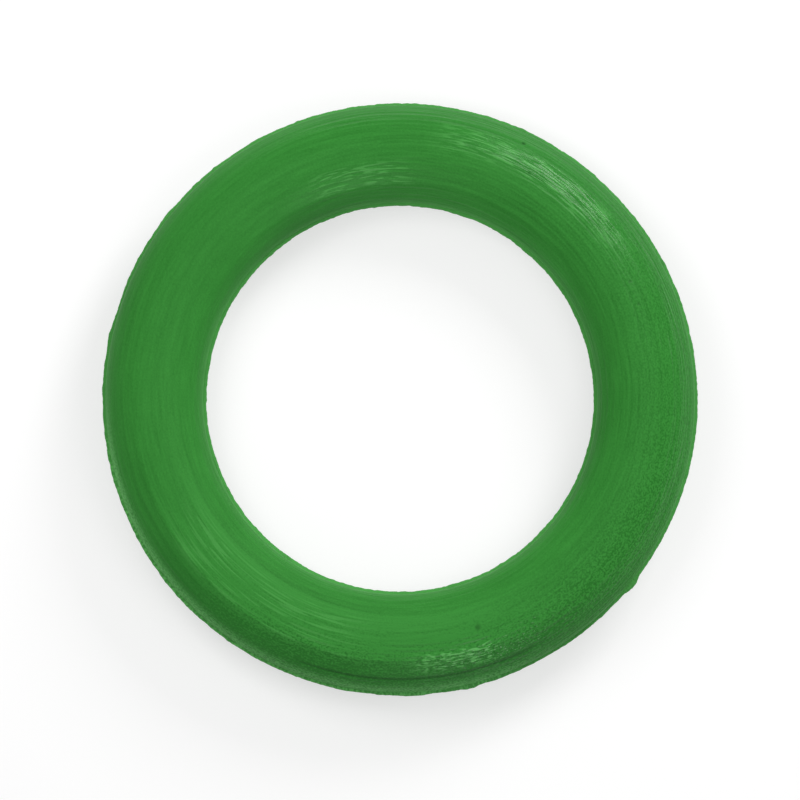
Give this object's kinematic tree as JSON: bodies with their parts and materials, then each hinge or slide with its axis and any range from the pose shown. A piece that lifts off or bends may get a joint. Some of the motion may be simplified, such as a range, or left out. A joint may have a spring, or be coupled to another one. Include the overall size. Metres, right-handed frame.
{
  "type": "o-ring",
  "caption": "Moulded green rubber O-ring, round in section with a thin trimmed flash line, that seals a spigot, spindle or union in a pipe, valve or heating fitting.",
  "frame": {"origin": "centre of the ring, on its axis and in the plane of the mould flash", "axes": "+Z along the ring's axis, so the ring lies flat; X and Y are any two directions across it"},
  "size_m": [0.0151, 0.015, 0.0024],
  "materials": {
    "green_rubber": "moulded, satin, with fine circular tool marks"
  },
  "bodies": {
    "root": {"o_ring": "green_rubber"}
  },
  "joints": []
}
